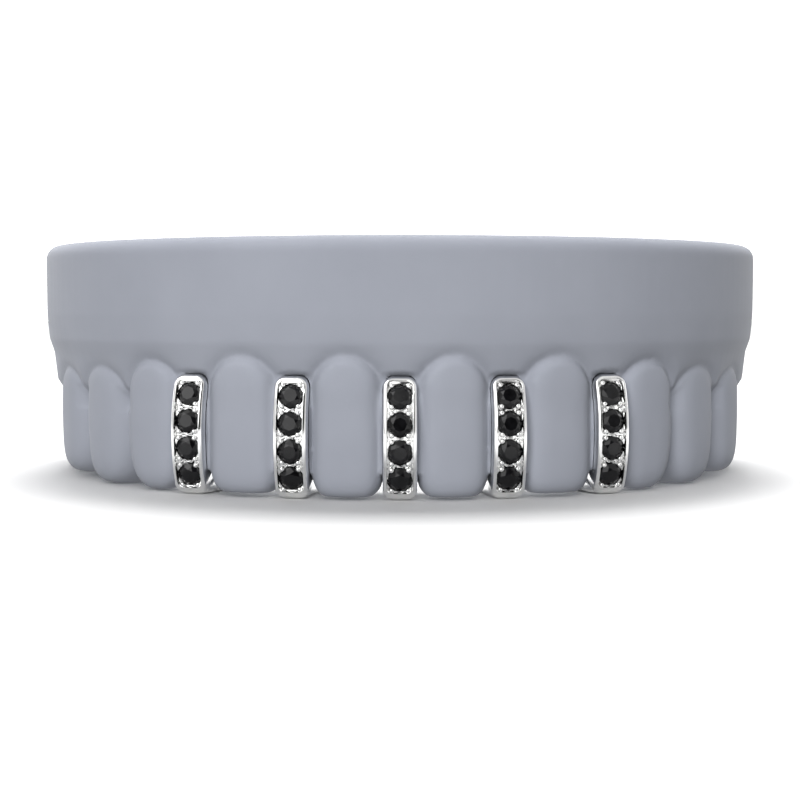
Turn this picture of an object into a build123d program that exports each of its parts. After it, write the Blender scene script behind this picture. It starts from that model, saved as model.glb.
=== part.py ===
from build123d import *
import math
import os

# A set of tooth-gap grillz: five upright bars, each with a column of four black stones,
# worn in the gaps between the six upper front teeth. It is shown on a plain upper tooth
# model that stands on its teeth. Lengths are in millimetres. X is the width, the front
# faces -Y, Z is up, and the origin lies under the middle of the whole on the floor.

# The stand, seen from above: half an ellipse in front and straight sides behind
arch_half_width = 34.7
arch_front_length = 31.0
arch_side_length = 12.0
arch_wall = 13.0
stand_height = 21.5
rim_fillet = 1.25
end_fillet = 5.0

# Gum and ridge under the base: height, then how far the plan is drawn in
# at the sides, in front, on the inside and at the back ends
gum_rows = (
    (15.0, 0.00, 0.00, 0.0, 0.0),
    (12.7, 0.22, 0.10, 0.6, 0.1),
    (11.4, 0.66, 0.35, 1.8, 0.4),
    (8.8, 0.92, 1.05, 4.0, 1.6),
    (6.8, 2.20, 2.20, 7.0, 4.2),
    (2.0, 3.10, 3.10, 7.6, 5.6),
)

# Sections of a tooth: share of its height, width, and depth cut from front and back
incisor_tip = (
    (0.00, 0.56, 0.80, 2.80),
    (0.04, 0.75, 0.30, 2.55),
    (0.10, 0.87, 0.10, 2.20),
    (0.22, 0.96, 0.02, 1.50),
)
canine_tip = (
    (0.00, 0.34, 0.95, 2.60),
    (0.04, 0.54, 0.45, 2.35),
    (0.10, 0.70, 0.18, 2.00),
    (0.22, 0.88, 0.04, 1.30),
)
back_tip = (
    (0.00, 0.40, 1.40, 2.60),
    (0.04, 0.60, 0.60, 1.60),
    (0.10, 0.76, 0.25, 0.95),
    (0.22, 0.92, 0.05, 0.30),
)
tooth_neck = (
    (0.45, 1.00, 0.00, 0.30),
    (0.70, 1.00, 0.02, 0.05),
    (0.80, 0.96, 0.06, 0.03),
    (0.88, 0.84, 0.13, 0.10),
    (0.93, 0.70, 0.22, 0.20),
    (0.97, 0.52, 0.45, 0.40),
    (1.00, 0.34, 0.90, 0.80),
)

# Teeth of one side, placed one after another on a line this far inside the outline:
# room along the arch, face inset from the outline, depth, tip height, gum line, tip
tooth_line_inset = 1.0
tooth_rows = (
    (8.72, -0.10, 6.1, 0.22, 12.0, incisor_tip),
    (9.08, -0.05, 6.0, 0.34, 11.9, incisor_tip),
    (8.00, 0.25, 5.8, 0.18, 11.4, canine_tip),
    (7.40, 0.60, 8.6, 0.10, 10.7, back_tip),
    (7.20, 0.62, 9.0, 0.50, 10.3, back_tip),
    (9.60, 1.50, 9.6, 0.00, 10.2, back_tip),
    (8.40, 1.80, 9.2, 0.00, 10.2, back_tip),
)
front_gap = 2.0          # between two front teeth, which the bar's seat then widens
back_overlap = 0.3       # how far two back teeth run into each other
bar_gaps = 2             # gaps beside the midline one, counted outwards, that hold a bar
root_sink = 0.5          # how far a tooth's top runs up inside the gum
tooth_squareness = 2.8   # exponent of a tooth's section, 2 is an ellipse
section_points = 20

# Bars: bowed slabs of one thickness, each turned to face outwards
bar_width = 2.8
bar_height = 10.1
bar_depth = 2.4
bar_bow = 1.1
bar_proud = 0.6          # front of a bar in front of the stand's outline
bar_toes = (0.0, 4.5, 12.5)   # how much less each bar is turned than the arch there
bar_corner = 0.85
bar_round = 0.26
bar_gap = 0.08           # clearance of the metal from the stand

# The channel in a bar's front
channel_side = 0.28
channel_top = 0.4
channel_bottom = 0.66
channel_depth = 0.4
channel_corner = 0.5

# Stones and the beads that hold them
stone_count = 4
stone_pitch = 2.27
stone_width = 2.0
stone_lift = 0.06        # middle of the column above the bar's middle
table_share = 0.56
crown_height = 0.32
girdle_height = 0.06
pavilion_height = 0.84
stone_sides = 8
star_share = 0.52
seat_gap = 0.03
bead_across = 0.64
bead_along = 0.845
bead_width = 0.4
bead_height = 0.24       # top of a bead above the channel's floor

# Hooks under the gaps, and the hidden bar that joins them behind the teeth
hook_width = 2.1
hook_thickness = 1.0
hook_floor = 0.1
hook_start = 1.2         # behind the outline, inside the bar
hook_heel = 1.3
hook_round = 0.33
strip_inset = 6.5
strip_thickness = 0.9
strip_low = 2.6
strip_high = 5.6
strip_overrun = 2.2      # past the middle of the last hook
strip_cover = 0.2        # metal of a hook's head in front of, behind and above the strip
strip_round = 0.25

# Worked out from the sizes above
arch_back = arch_front_length + arch_side_length
middle_y = (arch_back - bar_proud) / 2
bow_radius = (bar_height / 2) ** 2 / (2 * bar_bow) + bar_bow / 2
stone_radius = stone_width / 2


def arch_place(length):
    """Point on the tooth line and the turn of the arch there, at a length from the midline."""
    half = arch_half_width - tooth_line_inset
    deep = arch_front_length - tooth_line_inset
    front = EllipticalCenterArc((0, arch_front_length), half, deep, 270, arc_size=90)
    side = Line((half, arch_front_length), (half, arch_back))
    line = Wire([front.edge(), side.edge()])
    point = line.position_at(length, position_mode=PositionMode.LENGTH)
    along = line.tangent_at(length, position_mode=PositionMode.LENGTH)
    return point, math.degrees(math.atan2(along.Y, along.X))


def gap_frames():
    """Frames on the outline, facing along the arch's own turn, where one side's bars go."""
    frames = []
    reach = 0.0
    for row in range(bar_gaps + 1):
        point, turn = arch_place(reach)
        frames.append(Pos(point.X, point.Y, 0) * Rot(0, 0, turn) * Pos(0, -tooth_line_inset, 0))
        reach += tooth_rows[row][0]
    return frames


def horseshoe(height, side, front, inside, behind):
    """Plan of the arch at one height, as a face, drawn in by these amounts."""
    outer_x = arch_half_width - side
    outer_y = arch_front_length - front
    inner_x = arch_half_width - arch_wall + inside
    inner_y = arch_front_length - arch_wall + inside
    back = arch_back - behind
    centre = (0, arch_front_length)
    edges = [
        EllipticalCenterArc(centre, outer_x, outer_y, 180, arc_size=180),
        Line((outer_x, arch_front_length), (outer_x, back)),
        Line((outer_x, back), (inner_x, back)),
        Line((inner_x, back), (inner_x, arch_front_length)),
        EllipticalCenterArc(centre, inner_x, inner_y, 180, arc_size=180),
        Line((-inner_x, arch_front_length), (-inner_x, back)),
        Line((-inner_x, back), (-outer_x, back)),
        Line((-outer_x, back), (-outer_x, arch_front_length)),
    ]
    plan = make_face(edges)
    corners = plan.vertices().group_by(Axis.Y)[-1]
    room = (outer_x - inner_x) / 2
    plan = fillet(corners, min(end_fillet, 0.9 * room))
    return Pos(0, 0, height) * plan


def base_block():
    """The plain block above the gums, with its rounded top rim."""
    foot = gum_rows[0][0]
    block = extrude(horseshoe(foot, 0, 0, 0, 0), stand_height - foot)
    top = block.edges().group_by(Axis.Z)[-1]
    return fillet(top, rim_fillet)


def gum_block():
    """The gums and the ridge inside the teeth, tapering downwards."""
    faces = [horseshoe(*row) for row in gum_rows]
    return loft(faces, ruled=True)


def tooth_section(width, depth, back_shift, height):
    """Closed outline of a tooth at one height, its front at y = 0 before the shift."""
    points = []
    for step in range(section_points):
        turn = 2 * math.pi * step / section_points
        across = math.cos(turn)
        along = math.sin(turn)
        power = 2 / tooth_squareness
        x = width / 2 * math.copysign(abs(across) ** power, across)
        y = depth / 2 * math.copysign(abs(along) ** power, along)
        points.append((x, y + depth / 2 + back_shift, height))
    return Wire(Spline(*points, periodic=True).edge())


def tooth(width, depth, tip, top, sections):
    """A smooth peg that runs from its tip up into the gum, in its own frame."""
    wires = []
    for share, wide, front_cut, back_cut in sections:
        height = tip + share * (top - tip)
        thick = depth - front_cut - back_cut
        wires.append(tooth_section(width * wide, thick, front_cut, height))
    return Solid.make_loft(wires)


def teeth():
    """The seven teeth of the +X side, each turned to face outwards."""
    made = []
    start = 0.0
    for row, (room, inset, depth, tip, gum_line, tip_sections) in enumerate(tooth_rows):
        near = front_gap if row <= bar_gaps else -back_overlap
        far = front_gap if row < bar_gaps else -back_overlap
        width = room - (near + far) / 2
        point, turn = arch_place(start + near / 2 + width / 2)
        peg = tooth(width, depth, tip, gum_line + root_sink, tip_sections + tooth_neck)
        place = Pos(point.X, point.Y, 0) * Rot(0, 0, turn) * Pos(0, inset - tooth_line_inset, 0)
        made.append(place * peg)
        start += room
    return made


def bar_frames():
    """Every bar's own frame, from the -X end to the +X end."""
    frames = []
    for gap, toe in zip(gap_frames(), bar_toes):
        x, y, _ = gap.position
        turn = gap.orientation.Z - toe
        frames.append(Pos(x, y, 0) * Rot(0, 0, turn))
        if len(frames) > 1:
            frames.insert(0, Pos(-x, y, 0) * Rot(0, 0, -turn))
    return frames


def slab(width, low, high, front, back, corner):
    """A bowed slab between two depths behind a bar's front face, with rounded corners."""
    outline = Pos(0, 0, (low + high) / 2) * Rot(90, 0, 0) * RectangleRounded(width, high - low, corner)
    blank = extrude(outline, amount=bar_depth + bar_bow + bar_proud, both=True)
    centre = (bow_radius - bar_proud, bar_height / 2)
    ring = Circle(bow_radius - front) - Circle(bow_radius - back)
    tube = extrude(Plane.YZ * Pos(*centre) * ring, amount=width, both=True)
    return blank & tube


def on_bow(angle, depth):
    """Frame on the bowed front: z points out of the bar, y up along it."""
    turned = Pos(0, bow_radius - bar_proud, bar_height / 2) * Rot(-angle, 0, 0)
    return turned * Pos(0, depth - bow_radius, 0) * Rot(90, 0, 0)


def stone_frames():
    """Frames of a bar's stones, on the channel's floor, from the top down."""
    frames = []
    for index in range(stone_count):
        rise = ((stone_count - 1) / 2 - index) * stone_pitch + stone_lift
        frames.append(on_bow(math.degrees(rise / (bow_radius - channel_depth)), channel_depth))
    return frames


def stone():
    """A round brilliant: table, stars, kites, girdle and pavilion, girdle foot at z = 0."""
    step = math.pi / stone_sides
    ring = 2 * stone_sides
    table_radius = stone_radius * table_share
    crown_foot = girdle_height
    crown_top = crown_foot + crown_height
    # a kite's plane passes through the table corner and the girdle corner on one spoke
    slope = crown_height / (stone_radius - table_radius)
    star_radius = table_radius + star_share * (stone_radius - table_radius)
    star_level = crown_top - slope * (star_radius * math.cos(step) - table_radius)

    def spoke(radius, index, level):
        return Vector(radius * math.cos(index * step), radius * math.sin(index * step), level)

    table = [spoke(table_radius, 2 * i, crown_top) for i in range(stone_sides)]
    stars = [spoke(star_radius, 2 * i + 1, star_level) for i in range(stone_sides)]
    upper = [spoke(stone_radius, i, crown_foot) for i in range(ring)]
    lower = [spoke(stone_radius, i, 0) for i in range(ring)]
    culet = Vector(0, 0, -pavilion_height)
    rings = [table]
    for i in range(stone_sides):
        after = (i + 1) % stone_sides
        rings.append([table[i], stars[i], table[after]])
        rings.append([table[i], stars[i - 1], upper[2 * i]])
        rings.append([table[i], upper[2 * i], stars[i]])
        rings.append([stars[i], upper[2 * i], upper[2 * i + 1]])
        rings.append([stars[i], upper[2 * i + 1], upper[(2 * i + 2) % ring]])
    for i in range(ring):
        after = (i + 1) % ring
        rings.append([upper[i], lower[i], lower[after], upper[after]])
        rings.append([lower[i], culet, lower[after]])
    faces = [Face(Wire.make_polygon(points)) for points in rings]
    return Solid(Shell(faces))


def seat_bore():
    """Straight bore above a stone's girdle, and its cone below."""
    radius = stone_radius + seat_gap
    profile = [
        (0, -pavilion_height - seat_gap),
        (radius, -seat_gap),
        (radius, channel_depth + bar_round),
        (0, channel_depth + bar_round),
    ]
    return revolve(Plane.XZ * make_face(Polyline(*profile, close=True)), Axis.Z)


def seat_notch():
    """A stone's round envelope, which cuts the notch under each bead."""
    radius = stone_radius + seat_gap
    shoulder = girdle_height + seat_gap
    slope = crown_height / (stone_radius * (1 - table_share))
    over = bead_height + bead_width
    profile = [
        (0, -pavilion_height - seat_gap),
        (radius, -seat_gap),
        (radius, shoulder),
        (radius - (over - shoulder) / slope, over),
        (0, over),
    ]
    return revolve(Plane.XZ * make_face(Polyline(*profile, close=True)), Axis.Z)


def bead():
    """A round grain of metal that stands on the channel's floor."""
    radius = bead_width / 2
    post = bead_height - radius
    profile = make_face([
        Line((0, -2 * radius), (radius, -2 * radius)),
        Line((radius, -2 * radius), (radius, post)),
        RadiusArc((radius, post), (0, post + radius), -radius),
        Line((0, post + radius), (0, -2 * radius)),
    ])
    return revolve(Plane.XZ * profile, Axis.Z)


def bar():
    """One bar with its channel, seats and beads, in its own frame."""
    body = slab(bar_width, 0, bar_height, 0, bar_depth, bar_corner)
    front = body.faces().sort_by(Axis.Y)[0]
    body = fillet(front.edges(), bar_round)
    inner = bar_width - 2 * channel_side
    body -= slab(inner, channel_bottom, bar_height - channel_top, -1, channel_depth, channel_corner)
    bore = seat_bore()
    notch = seat_notch()
    grain = bead()
    frames = stone_frames()
    body -= [spot * bore for spot in frames]
    grains = []
    for spot in frames:
        for side in (-1, 1):
            for end in (-1, 1):
                grains.append(spot * Pos(side * bead_across, end * bead_along, 0) * grain)
    body += grains
    body -= [spot * notch for spot in frames]
    return body


def hook(gap, grown=0.0):
    """The hook of one gap: back under the teeth, then up behind them, round the strip."""
    low = hook_floor - grown
    high = hook_floor + hook_thickness + grown
    head = strip_high + strip_cover + grown
    rear = strip_inset + strip_thickness + strip_cover + grown
    fore = strip_inset - strip_cover - grown
    side = [
        (hook_start, low),
        (rear, low),
        (rear, head),
        (fore, head),
        (fore, high),
        (hook_start, high),
    ]
    plan = make_face(Polyline(*side, close=True))
    heel = plan.vertices().sort_by_distance((rear, low))[0]
    plan = fillet(heel, hook_heel)
    shape = extrude(Plane.YZ * plan, hook_width / 2 + grown, both=True)
    if not grown:
        under = shape.edges().filter_by(GeomType.LINE).filter_by(Axis.Y).group_by(Axis.Z)[0]
        shape = fillet(under, hook_round)
    return gap * shape


def strip():
    """The plain bar behind the front teeth that joins the hooks."""
    rear = strip_inset + strip_thickness
    reach = sum(row[0] for row in tooth_rows[:bar_gaps]) + strip_overrun
    point, _ = arch_place(reach)
    span = math.degrees(math.asin(point.X / (arch_half_width - tooth_line_inset)))
    centre = (0, arch_front_length)
    arcs = []
    for inset in (strip_inset, rear):
        half = arch_half_width - inset
        deep = arch_front_length - inset
        arcs.append(EllipticalCenterArc(centre, half, deep, 270 - span, arc_size=2 * span))
    ends = [Line(arcs[0] @ end, arcs[1] @ end) for end in (0, 1)]
    shape = extrude(Pos(0, 0, strip_low) * make_face(arcs + ends), strip_high - strip_low)
    return fillet(shape.edges(), strip_round)


def both_sides(shapes):
    """Shapes of the +X side and the midline, with the mirror images of those beside it."""
    return shapes + [mirror(shape, Plane.YZ) for shape in shapes if shape.center().X > bar_width / 2]


def grill_frame():
    """All the metal: five bars, their hooks and the joining strip, as one soldered piece."""
    one = bar()
    metal = strip()
    metal += both_sides([hook(gap) for gap in gap_frames()])
    metal += [frame * one for frame in bar_frames()]
    return metal


def seats_for_metal():
    """What the stand gives up so that the metal lies clear of it."""
    wide = bar_width + 2 * bar_gap
    block = slab(wide, -1, bar_height + bar_gap, -1, bar_depth + bar_gap, bar_corner)
    blocks = [frame * block for frame in bar_frames()]
    return blocks + both_sides([hook(gap, bar_gap) for gap in gap_frames()])


def dental_stand():
    """The whole tooth model as one solid."""
    body = base_block() + gum_block()
    body += both_sides(teeth())
    body -= seats_for_metal()
    return body


os.makedirs("parts", exist_ok=True)
to_origin = Pos(0, -middle_y, 0)
export_step(to_origin * dental_stand(), "parts/dental_stand.step")
export_step(to_origin * grill_frame(), "parts/grill_frame.step")
gem = stone()
for bar_number, bar_frame in enumerate(bar_frames(), start=1):
    for stone_number, stone_frame in enumerate(stone_frames(), start=1):
        placed = to_origin * bar_frame * stone_frame * gem
        export_step(placed, f"parts/stone_{bar_number}_{stone_number}.step")
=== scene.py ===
import math

import bmesh
import bpy
from mathutils import Matrix, Vector


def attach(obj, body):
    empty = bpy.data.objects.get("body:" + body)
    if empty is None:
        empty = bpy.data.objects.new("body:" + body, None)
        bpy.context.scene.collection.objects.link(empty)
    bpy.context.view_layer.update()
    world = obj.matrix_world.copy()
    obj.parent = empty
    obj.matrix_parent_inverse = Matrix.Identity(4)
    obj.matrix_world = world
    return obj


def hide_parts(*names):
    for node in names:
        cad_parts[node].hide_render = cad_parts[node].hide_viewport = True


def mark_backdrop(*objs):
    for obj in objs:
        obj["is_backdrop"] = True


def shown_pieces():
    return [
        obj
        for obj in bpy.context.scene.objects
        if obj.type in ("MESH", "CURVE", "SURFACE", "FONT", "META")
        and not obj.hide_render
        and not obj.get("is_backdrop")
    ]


# Tooth-gap grillz on a plain tooth model that stands on its teeth.
# Sizes in the dictionaries are millimetres and degrees, and everything is made in metres at the end.

millimetre = 0.001
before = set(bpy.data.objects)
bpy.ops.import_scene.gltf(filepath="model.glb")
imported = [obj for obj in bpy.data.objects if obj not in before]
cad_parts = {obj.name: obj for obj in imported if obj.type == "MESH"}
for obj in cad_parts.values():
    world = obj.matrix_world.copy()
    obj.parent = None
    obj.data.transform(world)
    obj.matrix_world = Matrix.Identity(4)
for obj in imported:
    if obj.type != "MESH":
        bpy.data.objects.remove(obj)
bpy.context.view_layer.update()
print("stage 1: frame loaded with", len(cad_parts), "nodes")


# Camera: a little above the middle of the stand, tilted slightly down

cameraSettings = {
    "place": (0.0, -141.2, 15.68),
    "tiltDown": 3.55,
    "lens": 67.5,
    "sensor": 36.0,
}


def makeCamera(settings):
    data = bpy.data.cameras.new("frontCamera")
    data.lens = settings["lens"]
    data.sensor_width = settings["sensor"]
    data.clip_start = 0.01
    data.clip_end = 20
    camera = bpy.data.objects.new("frontCamera", data)
    camera.location = Vector(settings["place"]) * millimetre
    camera.rotation_euler = (math.radians(90 - settings["tiltDown"]), 0, 0)
    bpy.context.scene.collection.objects.link(camera)
    bpy.context.scene.camera = camera


makeCamera(cameraSettings)


# Materials

def linearColour(hexText):
    channels = [int(hexText[start:start + 2], 16) / 255 for start in (1, 3, 5)]
    linear = [c / 12.92 if c <= 0.04045 else ((c + 0.055) / 1.055) ** 2.4 for c in channels]
    return (*linear, 1.0)


def newMaterial(name):
    material = bpy.data.materials.new(name)
    material.use_nodes = True
    material.node_tree.nodes.clear()
    return material


def addNode(material, kind, settings=None, links=None, stops=()):
    node = material.node_tree.nodes.new(kind)
    for name, value in (settings or {}).items():
        if isinstance(name, int) or name in node.inputs:
            node.inputs[name].default_value = value
        else:
            setattr(node, name, value)
    for name, source in (links or {}).items():
        material.node_tree.links.new(source, node.inputs[name])
    for index, (place, colour) in enumerate(stops):
        node.color_ramp.elements[index].position = place
        node.color_ramp.elements[index].color = linearColour(colour)
    return node


# Model resin, printed and rubbed down: an even blue-grey with no shine, under a soft fine grain
resinSettings = {
    "deep": "#787B83",
    "pale": "#7C7F87",
    "cloudWidth": 9.0,   # soft shade changes across the print
    "grainWidth": 0.22,  # real grain is about 0.05 mm, drawn coarser so that it shows
    "grainHeight": 0.012,
    "roughness": 0.62,
}


def makeResin(settings):
    material = newMaterial("matteModelResin")
    place = addNode(material, "ShaderNodeTexCoord").outputs["Object"]
    clouds = addNode(
        material,
        "ShaderNodeTexNoise",
        {"Scale": 1 / (settings["cloudWidth"] * millimetre), "Detail": 3.0, "Roughness": 0.55},
        {"Vector": place},
    )
    shade = addNode(
        material,
        "ShaderNodeValToRGB",
        links={"Fac": clouds.outputs["Fac"]},
        stops=((0.3, settings["deep"]), (0.7, settings["pale"])),
    )
    grain = addNode(
        material,
        "ShaderNodeTexNoise",
        {"Scale": 1 / (settings["grainWidth"] * millimetre), "Detail": 2.0, "Roughness": 0.6},
        {"Vector": place},
    )
    bump = addNode(
        material,
        "ShaderNodeBump",
        {"Strength": 0.35, "Distance": settings["grainHeight"] * millimetre},
        {"Height": grain.outputs["Fac"]},
    )
    shader = addNode(
        material,
        "ShaderNodeBsdfPrincipled",
        {"Roughness": settings["roughness"], "IOR": 1.5, "Specular IOR Level": 0.35},
        {"Base Color": shade.outputs["Color"], "Normal": bump.outputs["Normal"]},
    )
    addNode(material, "ShaderNodeOutputMaterial", links={"Surface": shader.outputs["BSDF"]})
    return material


# Sterling silver, cast and mirror polished: near white, with faint wheel marks
silverSettings = {
    "bright": "#F6F6F5",
    "dull": "#E9E9E9",
    "patchWidth": 1.6,
    "markWidth": 0.09,
    "markHeight": 0.0016,
    "sharp": 0.07,
    "soft": 0.16,
}


def makeSilver(settings):
    material = newMaterial("polishedSilver")
    place = addNode(material, "ShaderNodeTexCoord").outputs["Object"]
    patches = addNode(
        material,
        "ShaderNodeTexNoise",
        {"Scale": 1 / (settings["patchWidth"] * millimetre), "Detail": 2.0},
        {"Vector": place},
    )
    tone = addNode(
        material,
        "ShaderNodeValToRGB",
        links={"Fac": patches.outputs["Fac"]},
        stops=((0.35, settings["dull"]), (0.6, settings["bright"])),
    )
    gloss = addNode(
        material,
        "ShaderNodeMapRange",
        {"From Min": 0.3, "From Max": 0.7, "To Min": settings["sharp"], "To Max": settings["soft"]},
        {"Value": patches.outputs["Fac"]},
    )
    marks = addNode(
        material,
        "ShaderNodeTexNoise",
        {"Scale": 1 / (settings["markWidth"] * millimetre), "Detail": 1.0},
        {"Vector": place},
    )
    bump = addNode(
        material,
        "ShaderNodeBump",
        {"Strength": 0.3, "Distance": settings["markHeight"] * millimetre},
        {"Height": marks.outputs["Fac"]},
    )
    shader = addNode(
        material,
        "ShaderNodeBsdfPrincipled",
        {"Metallic": 1.0},
        {
            "Base Color": tone.outputs["Color"],
            "Roughness": gloss.outputs["Result"],
            "Normal": bump.outputs["Normal"],
        },
    )
    addNode(material, "ShaderNodeOutputMaterial", links={"Surface": shader.outputs["BSDF"]})
    return material


# Black onyx, cut and polished: an opaque body with glassy facets and a trace of haze
stoneSettings = {
    "deep": "#040405",
    "pale": "#0C0C0E",
    "hazeWidth": 0.5,
    "roughness": 0.045,
    "ior": 1.54,
    "level": 0.32,  # facets a little less bright than the full polish, as in the photograph
}


def makeStone(settings):
    material = newMaterial("blackOnyx")
    place = addNode(material, "ShaderNodeTexCoord").outputs["Object"]
    haze = addNode(
        material,
        "ShaderNodeTexNoise",
        {"Scale": 1 / (settings["hazeWidth"] * millimetre), "Detail": 2.0},
        {"Vector": place},
    )
    tone = addNode(
        material,
        "ShaderNodeValToRGB",
        links={"Fac": haze.outputs["Fac"]},
        stops=((0.35, settings["deep"]), (0.65, settings["pale"])),
    )
    shader = addNode(
        material,
        "ShaderNodeBsdfPrincipled",
        {"Roughness": settings["roughness"], "IOR": settings["ior"], "Specular IOR Level": settings["level"]},
        {"Base Color": tone.outputs["Color"]},
    )
    addNode(material, "ShaderNodeOutputMaterial", links={"Surface": shader.outputs["BSDF"]})
    return material


resin = makeResin(resinSettings)
silver = makeSilver(silverSettings)
blackStone = makeStone(stoneSettings)
print("stage 2: materials made")


# Shared steps

def finishPiece(name, work, material, node, sharpAngle):
    bmesh.ops.recalc_face_normals(work, faces=work.faces)
    bmesh.ops.scale(work, vec=(millimetre, millimetre, millimetre), verts=work.verts)
    mesh = bpy.data.meshes.new(name)
    work.to_mesh(mesh)
    work.free()
    mesh.materials.append(material)
    piece = bpy.data.objects.new(name, mesh)
    bpy.context.scene.collection.objects.link(piece)
    mesh.shade_smooth()
    mesh.set_sharp_from_angle(angle=math.radians(sharpAngle))
    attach(piece, "root")
    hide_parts(node)


def roundEdges(work, edges, offset, segments):
    bmesh.ops.bevel(
        work, geom=edges, offset=offset, segments=segments, profile=0.5, affect="EDGES", material=-1
    )


def bakeModifiers(piece):
    graph = bpy.context.evaluated_depsgraph_get()
    mesh = bpy.data.meshes.new_from_object(piece.evaluated_get(graph))
    piece.modifiers.clear()
    old = piece.data
    piece.data = mesh
    bpy.data.meshes.remove(old)


def looseObject(name, work):
    mesh = bpy.data.meshes.new(name)
    work.to_mesh(mesh)
    work.free()
    loose = bpy.data.objects.new(name, mesh)
    bpy.context.scene.collection.objects.link(loose)
    return loose


def placeCopy(target, source, place):
    x, y, foot, turn = place
    mesh = bpy.data.meshes.new("copyForPlacing")
    source.to_mesh(mesh)
    mesh.transform(Matrix.Translation((x, y, foot)) @ Matrix.Rotation(math.radians(turn), 4, "Z"))
    target.from_mesh(mesh)
    bpy.data.meshes.remove(mesh)


def cutInSlices(work, first, last, step, axis):
    level = first
    while level < last:
        geometry = work.verts[:] + work.edges[:] + work.faces[:]
        place = [level * part for part in axis]
        bmesh.ops.bisect_plane(work, geom=geometry, dist=0.001, plane_co=place, plane_no=axis)
        level += step


# Metal: five bowed bars with a rounded rim, seats and beads, hooks under the gaps and the strip behind

barSettings = {
    "width": 2.8,
    "halfLength": 5.05,
    "height": 10.1,
    "depth": 2.4,
    "bowRadius": 12.142,
    "squareFrom": 4.35,   # height along the bar where its bend gives way to level ends
    "proud": 0.6,
    "corner": 0.85,
    "rimWidth": 0.34,
    "outerRound": 0.3,
    "innerRound": 0.05,
    "channelDepth": 0.4,
    "channelTop": 4.67,
    "channelBottom": -4.38,
    "wallSlope": 0.04,
    "slice": 0.42,
    "lipStart": -4.25,
    "lipRound": 0.36,
    "stoneRises": (3.465, 1.195, -1.075, -3.345),
    "seatRadius": 1.06,
    "seatDepth": 0.9,
    "beadAcross": 0.68,
    "beadAlong": 0.87,
    "beadRadius": 0.22,
    "beadRise": 0.17,
    "webs": (  # across, half width, half depth and half height of the ridges left between two seats
        (0.0, 0.3, 0.12, 0.07),
        (-1.02, 0.09, 0.12, 0.26),
        (1.02, 0.09, 0.12, 0.26),
    ),
    "steps": (  # height along the bar, width, depth and height of the small ledges at the channel's ends
        (4.6, 1.7, 0.24, 0.24),
        (-4.32, 1.2, 0.12, 0.12),
    ),
    "pits": (0.38, 0.16, 0.3),  # across, radius and depth of the dark pits between the beads
    "places": (  # x, y, height of the foot, turn
        (-17.594, -16.921, 0.0, -15.218),
        (-8.872, -20.17, 0.0, -8.789),
        (0.0, -21.2, 0.0, 0.0),
        (8.872, -20.17, 0.0, 8.789),
        (17.594, -16.921, 0.0, 15.218),
    ),
}


def facesAlong(work, direction):
    return [face for face in work.faces if face.normal.dot(Vector(direction)) > 0.99]


def straightBar(sizes):
    work = bmesh.new()
    bmesh.ops.create_cube(work, size=1)
    bmesh.ops.scale(work, vec=(sizes["width"], sizes["depth"], 2 * sizes["halfLength"]), verts=work.verts)
    bmesh.ops.translate(work, vec=(0, sizes["depth"] / 2, 0), verts=work.verts)
    corners = [edge for edge in work.edges if abs((edge.verts[0].co - edge.verts[1].co).y) > 1]
    roundEdges(work, corners, sizes["corner"], 7)
    work.normal_update()
    channel = facesAlong(work, (0, -1, 0))
    outline = list(channel[0].edges)
    bmesh.ops.inset_region(work, faces=channel, thickness=sizes["rimWidth"])
    middle = (sizes["channelTop"] + sizes["channelBottom"]) / 2
    stretch = (sizes["channelTop"] - sizes["channelBottom"]) / (2 * (sizes["halfLength"] - sizes["rimWidth"]))
    inner = list(channel[0].verts)
    bmesh.ops.scale(work, vec=(1, 1, stretch), verts=inner)
    bmesh.ops.translate(work, vec=(0, 0, middle), verts=inner)
    mouth = list(channel[0].edges)
    bmesh.ops.inset_region(
        work, faces=channel, thickness=sizes["wallSlope"], depth=-sizes["channelDepth"], use_even_offset=True
    )
    roundEdges(work, outline, sizes["outerRound"], 4)
    roundEdges(work, mouth, sizes["innerRound"], 2)
    return work


def seatCutter(sizes):
    rises = sizes["stoneRises"]
    holes = [(0, rise, sizes["seatRadius"], sizes["seatDepth"]) for rise in rises]
    across, radius, depth = sizes["pits"]
    for upper, lower in zip(rises, rises[1:]):
        holes += [(side * across, (upper + lower) / 2, radius, depth) for side in (-1, 1)]
    work = bmesh.new()
    for x, rise, radius, depth in holes:
        made = bmesh.ops.create_cone(
            work, cap_ends=True, segments=48, radius1=radius, radius2=radius, depth=2 * depth
        )
        verts = made["verts"]
        bmesh.ops.rotate(work, matrix=Matrix.Rotation(math.radians(90), 3, "X"), verts=verts)
        bmesh.ops.translate(work, vec=(x, sizes["channelDepth"], rise), verts=verts)
    bmesh.ops.recalc_face_normals(work, faces=work.faces)
    return work


def cutBar(sizes):
    body = looseObject("barBlank", straightBar(sizes))
    cutter = looseObject("seatCutter", seatCutter(sizes))
    cut = body.modifiers.new("seats", "BOOLEAN")
    cut.operation = "DIFFERENCE"
    cut.solver = "EXACT"
    cut.use_self = True  # the pits run into the seats
    cut.object = cutter
    bakeModifiers(body)
    mesh = body.data
    print("faces of a cut bar:", len(mesh.polygons))
    bpy.data.objects.remove(body)
    bpy.data.objects.remove(cutter)
    return mesh


def bendVertex(place, sizes):
    reach = sizes["bowRadius"] - place.y
    square = (abs(place.z) - sizes["squareFrom"]) / (sizes["halfLength"] - sizes["squareFrom"])
    square = min(1.0, max(0.0, square))
    angle = (1 - square) * place.z / (sizes["bowRadius"] - sizes["channelDepth"])
    angle += square * math.asin(place.z / reach)
    return Vector((
        place.x,
        sizes["bowRadius"] - sizes["proud"] - reach * math.cos(angle),
        sizes["height"] / 2 + reach * math.sin(angle),
    ))


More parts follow.
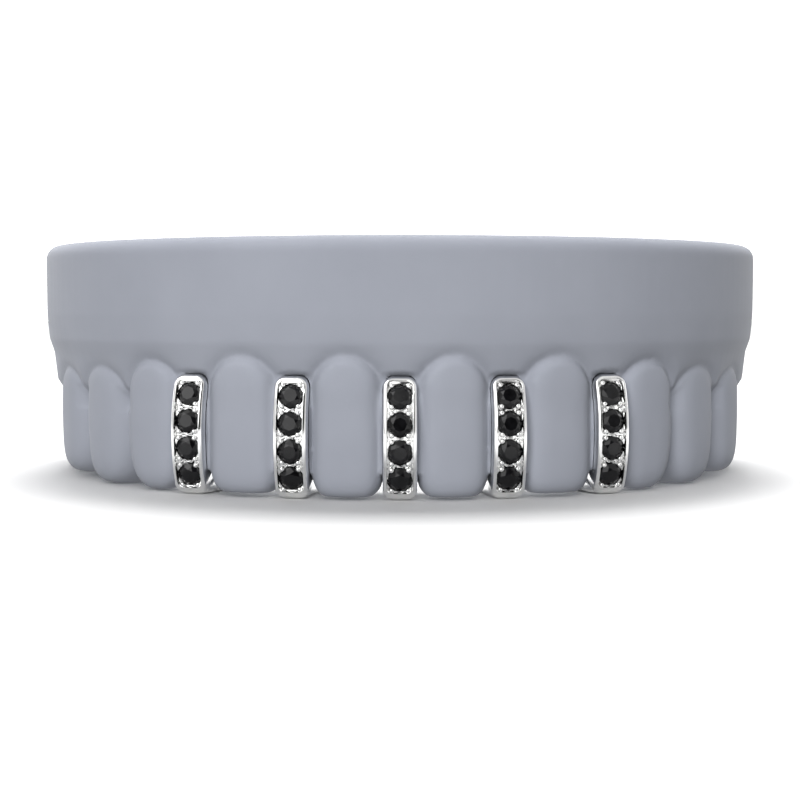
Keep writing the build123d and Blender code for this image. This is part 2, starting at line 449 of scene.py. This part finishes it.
def finishedBar(sizes, blank):
    work = bmesh.new()
    work.from_mesh(blank)
    cutInSlices(work, -sizes["halfLength"] + sizes["slice"], sizes["halfLength"], sizes["slice"], (0, 0, 1))
    for vert in work.verts:
        below = max(0.0, sizes["lipStart"] - vert.co.z) / (sizes["halfLength"] + sizes["lipStart"])
        vert.co.y += sizes["lipRound"] * below ** 2 * max(0.0, 1 - vert.co.y / sizes["depth"])
    for rise in sizes["stoneRises"]:
        for side in (-1, 1):
            for end in (-1, 1):
                spot = Matrix.Translation((
                    side * sizes["beadAcross"],
                    sizes["channelDepth"] - sizes["beadRise"],
                    rise + end * sizes["beadAlong"],
                ))
                bmesh.ops.create_uvsphere(
                    work, u_segments=18, v_segments=12, radius=sizes["beadRadius"], matrix=spot
                )
    for upper, lower in zip(sizes["stoneRises"], sizes["stoneRises"][1:]):
        for across, halfWidth, halfDepth, halfHeight in sizes["webs"]:
            spot = Matrix.Translation((across, sizes["channelDepth"], (upper + lower) / 2))
            shape = Matrix.Diagonal((halfWidth, halfDepth, halfHeight, 1))
            bmesh.ops.create_uvsphere(work, u_segments=20, v_segments=12, radius=1, matrix=spot @ shape)
    for height, width, depth, size in sizes["steps"]:
        spot = Matrix.Translation((0, sizes["channelDepth"], height))
        made = bmesh.ops.create_cube(work, size=1, matrix=spot @ Matrix.Diagonal((width, 2 * depth, size, 1)))
        work.edges.index_update()
        edges = {edge for vert in made["verts"] for edge in vert.link_edges}
        roundEdges(work, sorted(edges, key=lambda edge: edge.index), size / 4, 2)
    for vert in work.verts:
        vert.co = bendVertex(vert.co, sizes)
    return work


hookSettings = {
    "width": 2.1,
    "front": 1.2,
    "floor": 0.1,
    "thickness": 1.0,
    "webCuts": (3.3, 3.6, 3.9, 4.3, 4.8, 5.3),  # where the arm's top sweeps up to the bar's back
    "webHeight": 0.35,
    "webReach": 0.4,
    "postFront": 6.3,
    "postBack": 7.6,
    "top": 5.8,
    "heel": 1.2,
    "round": 0.33,
    "places": (
        (-17.594, -16.921, 0.0, -27.718),
        (-8.872, -20.17, 0.0, -13.289),
        (0.0, -21.2, 0.0, 0.0),
        (8.872, -20.17, 0.0, 13.289),
        (17.594, -16.921, 0.0, 27.718),
    ),
}


def oneHook(sizes):
    work = bmesh.new()
    bmesh.ops.create_cube(work, size=1)
    length = sizes["postBack"] - sizes["front"]
    bmesh.ops.scale(work, vec=(sizes["width"], length, sizes["thickness"]), verts=work.verts)
    middle = (0, sizes["front"] + length / 2, sizes["floor"] + sizes["thickness"] / 2)
    bmesh.ops.translate(work, vec=middle, verts=work.verts)
    geometry = work.verts[:] + work.edges[:] + work.faces[:]
    bmesh.ops.bisect_plane(
        work, geom=geometry, dist=0.001, plane_co=(0, sizes["postFront"], 0), plane_no=(0, 1, 0)
    )
    work.normal_update()
    shelf = [face for face in facesAlong(work, (0, 0, 1)) if face.calc_center_median().y > sizes["postFront"]]
    grown = bmesh.ops.extrude_face_region(work, geom=shelf)
    raised = [item for item in grown["geom"] if isinstance(item, bmesh.types.BMVert)]
    lift = sizes["top"] - sizes["floor"] - sizes["thickness"]
    bmesh.ops.translate(work, vec=(0, 0, lift), verts=raised)
    work.normal_update()
    heel = []
    for edge in work.edges:
        if all(v.co.z < sizes["floor"] + 0.01 and v.co.y > sizes["postBack"] - 0.01 for v in edge.verts):
            heel.append(edge)
    roundEdges(work, heel, sizes["heel"], 8)
    work.normal_update()
    sharp = [edge for edge in work.edges if edge.calc_face_angle(0) > math.radians(40)]
    roundEdges(work, sharp, sizes["round"], 3)
    for level in sizes["webCuts"]:
        geometry = work.verts[:] + work.edges[:] + work.faces[:]
        bmesh.ops.bisect_plane(work, geom=geometry, dist=0.001, plane_co=(0, level, 0), plane_no=(0, 1, 0))
    for vert in work.verts:
        upper = (vert.co.z - sizes["floor"]) / sizes["thickness"]
        if vert.co.y < sizes["postFront"] - 1 and upper > 0.5:
            near = max(0.0, vert.co.y - sizes["webCuts"][0])
            vert.co.z += sizes["webHeight"] * math.exp(-near / sizes["webReach"]) * (2 * upper - 1)
    return work


stripSettings = {
    "centreY": 9.8,      # middle of the arch's front curve
    "halfAcross": 27.75,  # its half width and depth at the strip's middle line
    "halfDeep": 24.05,
    "span": 34.4,        # degrees each way from the midline
    "thickness": 0.9,
    "low": 2.6,
    "high": 5.6,
    "round": 0.25,
    "slice": 1.7,
}


def archStrip(sizes):
    work = bmesh.new()
    bmesh.ops.create_cube(work, size=1)
    height = sizes["high"] - sizes["low"]
    bmesh.ops.scale(work, vec=(2 * sizes["span"], sizes["thickness"], height), verts=work.verts)
    roundEdges(work, work.edges[:], sizes["round"], 3)
    cutInSlices(work, sizes["slice"] - sizes["span"], sizes["span"], sizes["slice"], (1, 0, 0))
    for vert in work.verts:
        angle = math.radians(vert.co.x)
        across = (sizes["halfAcross"] - vert.co.y) * math.sin(angle)
        along = sizes["centreY"] - (sizes["halfDeep"] - vert.co.y) * math.cos(angle)
        vert.co = Vector((across, along, vert.co.z + (sizes["low"] + sizes["high"]) / 2))
    return work


def makeGrillMetal():
    metal = bmesh.new()
    bar = finishedBar(barSettings, cutBar(barSettings))
    for place in barSettings["places"]:
        placeCopy(metal, bar, place)
    hook = oneHook(hookSettings)
    for place in hookSettings["places"]:
        placeCopy(metal, hook, place)
    strip = archStrip(stripSettings)
    placeCopy(metal, strip, (0, 0, 0, 0))
    for part in (bar, hook, strip):
        part.free()
    finishPiece("grillMetal", metal, silver, "grill_frame", 35)


makeGrillMetal()
print("stage 3: metal made")


# Tooth model: the solid's own shape with its creases melted into soft valleys, as a rubbed-down print has.
# The bars' seats are filled before that and cut again after it, so that their edges stay sharp.

standSettings = {
    "voxel": 0.2,
    "smoothing": 0.5,
    "rounds": 3,
    "kept": 0.41,               # share of the faces kept after the skin is smooth
    "seatSlice": 0.8,
    "plug": (0.08, 0.5, -2.0),  # room round a bar, start behind its front, run below its foot
    "seat": (0.04, -1.0, 1.2),  # the same for the cut: less room than the plug leaves a thin skin
    "carveTop": 15.0,           # only the skin below this height
    "carveBack": 5.0,           # and in front of this line is carved
    "valleyFrom": 0.6,          # share of a tooth's height above which valleys are sought
    "valleyDepth": 0.42,
    "valleyAbove": 0.6,         # how far a valley fades into the gum
    "valleyBelow": 0.2,         # and into the tooth
    "valleyRound": 0.14,        # how blunt its bottom is
    "valleyFront": -3.0,        # in front of and behind a tooth's middle line
    "valleyBack": 3.0,
    "besideBarDepth": 0.35,     # how far the skin falls back where it meets a bar
    "besideBarReach": 0.6,
    "besideBarFront": -2.0,
    "overBarReach": 0.3,
    "fadeOut": 2.0,             # reaches after which a carved place has faded
    "teeth": (  # x, y, turn, width, height of the tip, top of the tooth, share of the valley's depth
        (4.477, -21.042, 6.61, 6.72, 0.22, 12.5, 1.0),
        (13.351, -18.868, 20.391, 7.08, 0.34, 12.4, 1.0),
        (21.46, -14.256, 35.401, 7.15, 0.18, 11.9, 0.9),
        (26.634, -9.184, 48.114, 7.7, 0.1, 11.2, 0.8),
        (30.842, -3.125, 62.197, 7.5, 0.5, 10.8, 0.8),
    ),
    "neck": (  # height and half width of the valley's line, as shares of the tooth's
        (0.64, 0.47),
        (0.752, 0.425),
        (0.827, 0.36),
        (0.874, 0.285),
        (0.904, 0.205),
        (0.927, 0.1),
        (0.936, 0.0),
    ),
}


def seatBlocks(room, front, below, settings):
    block = bmesh.new()
    bmesh.ops.create_cube(block, size=1)
    width = barSettings["width"] + 2 * room
    back = barSettings["depth"] + room
    top = barSettings["halfLength"] + room
    bottom = -barSettings["halfLength"] - below
    bmesh.ops.scale(block, vec=(width, back - front, top - bottom), verts=block.verts)
    bmesh.ops.translate(block, vec=(0, (front + back) / 2, (top + bottom) / 2), verts=block.verts)
    corners = []
    for edge in block.edges:
        if abs((edge.verts[0].co - edge.verts[1].co).y) > 1 and edge.verts[0].co.z > 0:
            corners.append(edge)
    roundEdges(block, corners, barSettings["corner"], 7)
    cutInSlices(block, bottom + settings["seatSlice"], top, settings["seatSlice"], (0, 0, 1))
    for vert in block.verts:
        vert.co = bendVertex(vert.co, barSettings)
    blocks = bmesh.new()
    for place in barSettings["places"]:
        placeCopy(blocks, block, place)
    block.free()
    bmesh.ops.recalc_face_normals(blocks, faces=blocks.faces)
    bmesh.ops.scale(blocks, vec=(millimetre, millimetre, millimetre), verts=blocks.verts)
    return blocks


def valleyDrop(place, tooth, settings):
    x, y, turn, width, tip, top, share = tooth
    side = math.copysign(1, place.x)
    offset = Vector((side * place.x, place.y, 0)) - Vector((x, y, 0))
    local = Matrix.Rotation(math.radians(-turn), 3, "Z") @ offset
    across = abs(local.x)
    if across > width / 2 + settings["valleyAbove"] * settings["fadeOut"]:
        return None, 0.0
    if not settings["valleyFront"] < local.y < settings["valleyBack"]:
        return None, 0.0
    line = [(half * width, tip + level * (top - tip)) for level, half in settings["neck"]]
    nearest = math.inf
    for (x1, z1), (x2, z2) in zip(line, line[1:]):
        along = Vector((x2 - x1, z2 - z1))
        offset = Vector((across - x1, place.z - z1))
        run = min(1.0, max(0.0, offset.dot(along) / along.dot(along)))
        gap = offset - run * along
        if gap.length < abs(nearest):
            nearest = math.copysign(gap.length, along.x * gap.y - along.y * gap.x)
    reach = settings["valleyAbove"] if nearest < 0 else settings["valleyBelow"]
    away = math.hypot(nearest, settings["valleyRound"]) - settings["valleyRound"]
    drop = share * settings["valleyDepth"] * math.exp(-away / reach)
    inward = Matrix.Rotation(math.radians(turn), 3, "Z") @ Vector((0, 1, 0))
    return Vector((side * inward.x, inward.y, 0)), drop


def barDrop(place, bar, settings):
    x, y, foot, turn = bar
    spin = Matrix.Rotation(math.radians(turn), 3, "Z")
    local = spin.inverted() @ (place - Vector((x, y, foot)))
    aside = max(0.0, abs(local.x) - barSettings["width"] / 2) / settings["besideBarReach"]
    above = max(0.0, local.z - barSettings["height"]) / settings["overBarReach"]
    gap = math.hypot(aside, above)
    if gap > settings["fadeOut"] or not settings["besideBarFront"] < local.y < settings["valleyBack"]:
        return None, 0.0
    return spin @ Vector((0, 1, 0)), settings["besideBarDepth"] * math.exp(-gap ** 2)


def carveValleys(mesh, settings):
    tips = [(tooth[4], tooth[5]) for tooth in settings["teeth"]]
    lowest = min(tip + settings["valleyFrom"] * (top - tip) for tip, top in tips)
    for vert in mesh.vertices:
        place = vert.co / millimetre
        if place.z > settings["carveTop"] or place.y > settings["carveBack"]:
            continue
        drops = [barDrop(place, bar, settings) for bar in barSettings["places"]]
        if place.z > lowest:
            drops += [valleyDrop(place, tooth, settings) for tooth in settings["teeth"]]
        inward, deepest = max(drops, key=lambda drop: drop[1])
        if inward:
            vert.co += inward * deepest * millimetre


def makeToothModel(settings):
    work = bmesh.new()
    work.from_mesh(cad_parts["dental_stand"].data)
    bmesh.ops.remove_doubles(work, verts=work.verts, dist=0.00001)
    plugs = seatBlocks(*settings["plug"], settings)
    placeCopy(work, plugs, (0, 0, 0, 0))
    plugs.free()
    piece = looseObject("toothModel", work)
    remesh = piece.modifiers.new("evenSkin", "REMESH")
    remesh.mode = "VOXEL"
    remesh.voxel_size = settings["voxel"] * millimetre
    bakeModifiers(piece)
    carveValleys(piece.data, settings)
    soften = piece.modifiers.new("softCreases", "SMOOTH")
    soften.factor = settings["smoothing"]
    soften.iterations = settings["rounds"]
    thin = piece.modifiers.new("fewerFaces", "DECIMATE")
    thin.ratio = settings["kept"]
    cutter = looseObject("barSeats", seatBlocks(*settings["seat"], settings))
    cut = piece.modifiers.new("seats", "BOOLEAN")
    cut.operation = "DIFFERENCE"
    cut.solver = "MANIFOLD"
    cut.object = cutter
    bakeModifiers(piece)
    bpy.data.objects.remove(cutter)
    piece.data.materials.clear()
    piece.data.materials.append(resin)
    print("tooth model triangles:", sum(len(face.vertices) - 2 for face in piece.data.polygons))
    piece.data.shade_smooth()
    piece.data.set_sharp_from_angle(angle=math.radians(50))
    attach(piece, "root")
    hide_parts("dental_stand")


makeToothModel(standSettings)
print("stage 4: tooth model made")


# Stones keep their own cut facets

for name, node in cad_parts.items():
    if name.startswith("stone_"):
        node.data.materials.clear()
        node.data.materials.append(blackStone)
print("stage 5: stones finished")


# White floor and backdrop, soft light mostly from the front left

studioSettings = {
    "floorSize": 6000.0,
    "floorColour": "#F6F6F6",
    "backdropDistance": 1500.0,
    "backdropGlow": 2.2,
    "roomFill": 0.26,     # what the room gives to matt surfaces
    "fillBelow": ((0.0, 0.0, -1.0), (0.0, 0.5), 0.3),  # light that comes back up from the floor
    "roomBright": 0.8,    # and what shows in polished ones
    "shades": (  # direction, where the shade starts and is full, what it leaves of the room there
        ((0.0, -0.995, 0.1), (0.66, 0.84), 0.07),     # the unlit room around the camera
    ),
    "softBoxes": (  # direction, where the box starts and is full, how much brighter than the room
        ((-0.392, -0.84, 0.375), (0.9, 0.935), 2.3),
        ((-0.62, -0.33, 0.711), (0.9, 0.96), 2.4),
    ),
    "lights": (  # name, place, size, power in watts, what it lights
        ("keyFront", (-185.0, -775.0, 418.0), 500.0, 13.4, "object"),
        ("overhead", (0.0, -120.0, 600.0), 300.0, 1.4, "object"),
        ("floorFill", (0.0, -700.0, 350.0), 500.0, 2.2, "floor"),
        ("topBack", (0.0, 260.0, 560.0), 260.0, 3.2, "all"),
    ),
}


def skyPatch(world, looking, before, towards, edge, operation, outside, inside):
    facing = addNode(world, "ShaderNodeVectorMath", {"operation": "DOT_PRODUCT", 1: towards}, {0: looking})
    patch = addNode(
        world,
        "ShaderNodeMapRange",
        {
            "interpolation_type": "SMOOTHSTEP",
            "From Min": edge[0],
            "From Max": edge[1],
            "To Min": outside,
            "To Max": inside,
        },
        {"Value": facing.outputs["Value"]},
    )
    amount = patch.outputs["Result"]
    changed = addNode(world, "ShaderNodeMath", {"operation": operation}, {0: before, 1: amount})
    return changed.outputs["Value"]


def makeWorld(settings):
    world = bpy.data.worlds.new("studioWorld")
    world.use_nodes = True
    world.node_tree.nodes.clear()
    looking = addNode(world, "ShaderNodeTexCoord").outputs["Generated"]
    fill = addNode(world, "ShaderNodeValue").outputs["Value"]
    fill.default_value = settings["roomFill"]
    towards, edge, strength = settings["fillBelow"]
    fill = skyPatch(world, looking, fill, towards, edge, "ADD", 0.0, strength)
    room = addNode(world, "ShaderNodeValue").outputs["Value"]
    room.default_value = settings["roomBright"]
    for towards, edge, share in settings["shades"]:
        room = skyPatch(world, looking, room, towards, edge, "MULTIPLY", 1.0, share)
    for towards, edge, strength in settings["softBoxes"]:
        room = skyPatch(world, looking, room, towards, edge, "ADD", 0.0, strength)
    shiny = addNode(world, "ShaderNodeLightPath").outputs["Is Glossy Ray"]
    strength = addNode(
        world,
        "ShaderNodeMapRange",
        {"From Min": 0.0, "From Max": 1.0},
        {"Value": shiny, "To Min": fill, "To Max": room},
    )
    background = addNode(world, "ShaderNodeBackground", links={"Strength": strength.outputs["Result"]})
    background.inputs["Color"].default_value = (1, 1, 1, 1)
    addNode(world, "ShaderNodeOutputWorld", links={"Surface": background.outputs["Background"]})
    bpy.context.scene.world = world


def makeStudio(settings):
    paper = newMaterial("whitePaper")  # seamless backdrop paper, matt and almost white
    shader = addNode(
        paper,
        "ShaderNodeBsdfPrincipled",
        {"Base Color": linearColour(settings["floorColour"]), "Roughness": 0.9, "Specular IOR Level": 0.1},
    )
    addNode(paper, "ShaderNodeOutputMaterial", links={"Surface": shader.outputs["BSDF"]})
    work = bmesh.new()
    bmesh.ops.create_grid(work, x_segments=1, y_segments=1, size=settings["floorSize"] / 2 * millimetre)
    floor = looseObject("floor", work)
    floor.data.materials.append(paper)
    floor.visible_diffuse = False  # the world's fillBelow stands in for its light
    glow = newMaterial("litBackdrop")  # evenly lit white wall behind
    lamp = addNode(glow, "ShaderNodeEmission", {"Strength": settings["backdropGlow"]})
    addNode(glow, "ShaderNodeOutputMaterial", links={"Surface": lamp.outputs["Emission"]})
    work = bmesh.new()
    bmesh.ops.create_grid(work, x_segments=1, y_segments=1, size=settings["floorSize"] / 2 * millimetre)
    bmesh.ops.rotate(work, matrix=Matrix.Rotation(math.radians(90), 3, "X"), verts=work.verts)
    bmesh.ops.translate(work, vec=(0, settings["backdropDistance"] * millimetre, 0), verts=work.verts)
    backdrop = looseObject("backdrop", work)
    backdrop.data.materials.append(glow)
    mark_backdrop(floor, backdrop)
    makeWorld(settings)
    lit = {"object": bpy.data.collections.new("litObject"), "floor": bpy.data.collections.new("litFloor")}
    lit["floor"].objects.link(floor)
    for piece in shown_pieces():
        lit["object"].objects.link(piece)
    for name, place, size, power, target in settings["lights"]:
        data = bpy.data.lights.new(name, "AREA")
        data.size = size * millimetre
        data.energy = power
        light = bpy.data.objects.new(name, data)
        light.location = Vector(place) * millimetre
        aim = Vector((0, 0, 10)) * millimetre - light.location
        light.rotation_euler = aim.to_track_quat("-Z", "Y").to_euler()
        bpy.context.scene.collection.objects.link(light)
        light.visible_glossy = False
        if target in lit:
            light.light_linking.receiver_collection = lit[target]
    bpy.context.scene.view_settings.view_transform = "Standard"


makeStudio(studioSettings)
print("stage 6: studio made")
